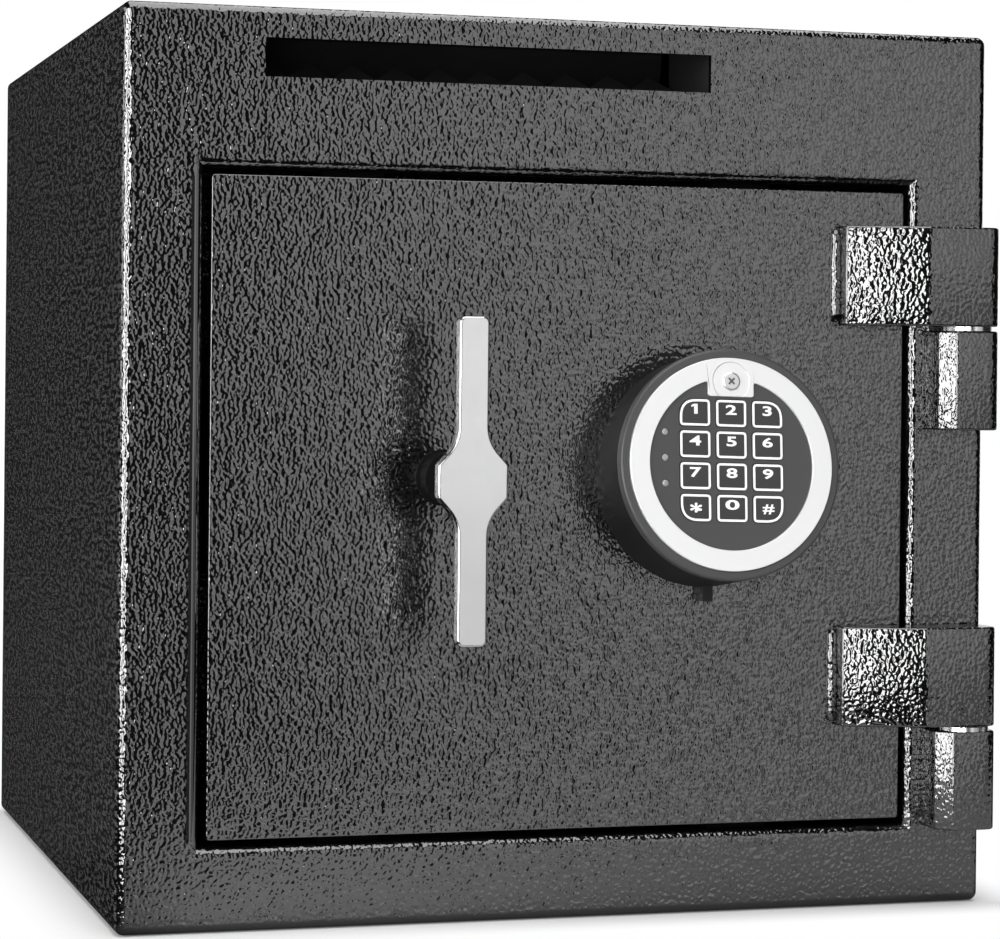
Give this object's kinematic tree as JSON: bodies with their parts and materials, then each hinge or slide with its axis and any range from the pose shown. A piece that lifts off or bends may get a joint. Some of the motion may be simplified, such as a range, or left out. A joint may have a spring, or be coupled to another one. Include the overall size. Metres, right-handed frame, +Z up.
{
  "type": "drop safe",
  "caption": "Front-drop depository safe: folded steel body with mail slot and toothed baffle, hinged door, electronic keypad lock and turning handle that throws locking bolts.",
  "frame": {"origin": "underside of the body, centre of the four anchor holes", "axes": "+X to the right as seen from the front, +Y from the door towards the back, +Z up"},
  "size_m": [0.356, 0.389, 0.354],
  "materials": {
    "hammertone": "glossy pebbled black-grey powder coat",
    "inner_paint": "satin dark grey paint",
    "mat": "needle felt",
    "steel": "zinc plated",
    "washer_steel": "polished",
    "bolt_steel": "turned and plated",
    "zinc_plate": "yellow zinc plated sheet",
    "hard_steel": "hardened, blackened",
    "lock_zinc": "die cast zinc",
    "brass": "machined",
    "coil": "taped copper winding",
    "circuit_board": "solder mask",
    "lead": "flexible jacket",
    "housing_plastic": "fine moulded black",
    "silver_plastic": "bright silver",
    "face_plastic": "dark grey film",
    "key_plastic": "dark grey with white outlines",
    "chrome": "polished chrome",
    "battery_case": "printed can",
    "lens": "smoked clear"
  },
  "bodies": {
    "safe_body": {"body_wrap": "hammertone", "front_frame": "hammertone", "back_panel": "hammertone", "floor_mat": "mat", "strike_bar": "inner_paint", "door_stops": "inner_paint", "slot_tray": "inner_paint", "tooth_comb": "inner_paint", "deflector": "inner_paint", "fixed_knuckle_upper": "hammertone", "fixed_knuckle_lower": "hammertone", "hinge_pins": "steel", "hinge_washers": "washer_steel"},
    "door": {"door_plate": "hammertone", "hinge_block_upper": "hammertone", "hinge_block_lower": "hammertone", "dead_bar": "inner_paint", "bolt_guide": "inner_paint", "hard_plate": "hard_steel", "lock_case": "lock_zinc", "lock_cover": "zinc_plate", "lock_screws": "steel", "solenoid": "coil", "lock_board": "circuit_board", "lock_lead": "lead", "mechanism_cover": "inner_paint", "cover_posts": "steel", "cover_screws": "steel", "guide_studs": "steel", "handle_collar": "housing_plastic", "keypad_base": "housing_plastic", "keypad_bezel": "housing_plastic", "keypad_ring": "silver_plastic", "keypad_face": "face_plastic", "keypad_screw": "chrome", "keypad_mount_screws": "steel", "keypad_board": "circuit_board", "battery": "battery_case", "led_lenses": "lens"},
    "handle": {"handle_grip": "chrome", "handle_shaft": "steel", "cam": "steel", "cam_nut": "steel"},
    "bolt_carriage": {"carriage": "zinc_plate", "locking_bolts": "bolt_steel", "bolt_screws": "steel"},
    "lock_bolt": {"lock_bolt": "brass"},
    "key_1": {"key_1": "key_plastic"},
    "key_2": {"key_2": "key_plastic"},
    "key_3": {"key_3": "key_plastic"},
    "key_4": {"key_4": "key_plastic"},
    "key_5": {"key_5": "key_plastic"},
    "key_6": {"key_6": "key_plastic"},
    "key_7": {"key_7": "key_plastic"},
    "key_8": {"key_8": "key_plastic"},
    "key_9": {"key_9": "key_plastic"},
    "key_star": {"key_star": "key_plastic"},
    "key_0": {"key_0": "key_plastic"},
    "key_hash": {"key_hash": "key_plastic"}
  },
  "joints": [
    {"name": "door_swing", "type": "hinge", "parent": "safe_body", "child": "door", "pos_m": [0.1645, -0.1851, 0.16], "axis": [0, 0, 1], "range_deg": [0, 170]},
    {"name": "handle_turn", "type": "hinge", "parent": "door", "child": "handle", "pos_m": [-0.0516, -0.1725, 0.1735], "axis": [0, -1, 0], "range_deg": [0, 70]},
    {"name": "bolt_throw", "type": "slide", "parent": "door", "child": "bolt_carriage", "axis": [-1, 0, 0], "range_m": [0, 0.022]},
    {"name": "lock_bolt_throw", "type": "slide", "parent": "door", "child": "lock_bolt", "axis": [0, 0, -1], "range_m": [0, 0.01]},
    {"name": "key_1_press", "type": "slide", "parent": "door", "child": "key_1", "axis": [0, 0.991, -0.134], "range_m": [0, 0.0008], "stiffness_N_per_m": 400},
    {"name": "key_2_press", "type": "slide", "parent": "door", "child": "key_2", "axis": [0, 0.991, -0.134], "range_m": [0, 0.0008], "stiffness_N_per_m": 400},
    {"name": "key_3_press", "type": "slide", "parent": "door", "child": "key_3", "axis": [0, 0.991, -0.134], "range_m": [0, 0.0008], "stiffness_N_per_m": 400},
    {"name": "key_4_press", "type": "slide", "parent": "door", "child": "key_4", "axis": [0, 0.991, -0.134], "range_m": [0, 0.0008], "stiffness_N_per_m": 400},
    {"name": "key_5_press", "type": "slide", "parent": "door", "child": "key_5", "axis": [0, 0.991, -0.134], "range_m": [0, 0.0008], "stiffness_N_per_m": 400},
    {"name": "key_6_press", "type": "slide", "parent": "door", "child": "key_6", "axis": [0, 0.991, -0.134], "range_m": [0, 0.0008], "stiffness_N_per_m": 400},
    {"name": "key_7_press", "type": "slide", "parent": "door", "child": "key_7", "axis": [0, 0.991, -0.134], "range_m": [0, 0.0008], "stiffness_N_per_m": 400},
    {"name": "key_8_press", "type": "slide", "parent": "door", "child": "key_8", "axis": [0, 0.991, -0.134], "range_m": [0, 0.0008], "stiffness_N_per_m": 400},
    {"name": "key_9_press", "type": "slide", "parent": "door", "child": "key_9", "axis": [0, 0.991, -0.134], "range_m": [0, 0.0008], "stiffness_N_per_m": 400},
    {"name": "key_star_press", "type": "slide", "parent": "door", "child": "key_star", "axis": [0, 0.991, -0.134], "range_m": [0, 0.0008], "stiffness_N_per_m": 400},
    {"name": "key_0_press", "type": "slide", "parent": "door", "child": "key_0", "axis": [0, 0.991, -0.134], "range_m": [0, 0.0008], "stiffness_N_per_m": 400},
    {"name": "key_hash_press", "type": "slide", "parent": "door", "child": "key_hash", "axis": [0, 0.991, -0.134], "range_m": [0, 0.0008], "stiffness_N_per_m": 400}
  ],
  "couplings": [
    {"joint": "handle_turn", "follows": "bolt_throw", "rad_per_m": 55.533}
  ]
}
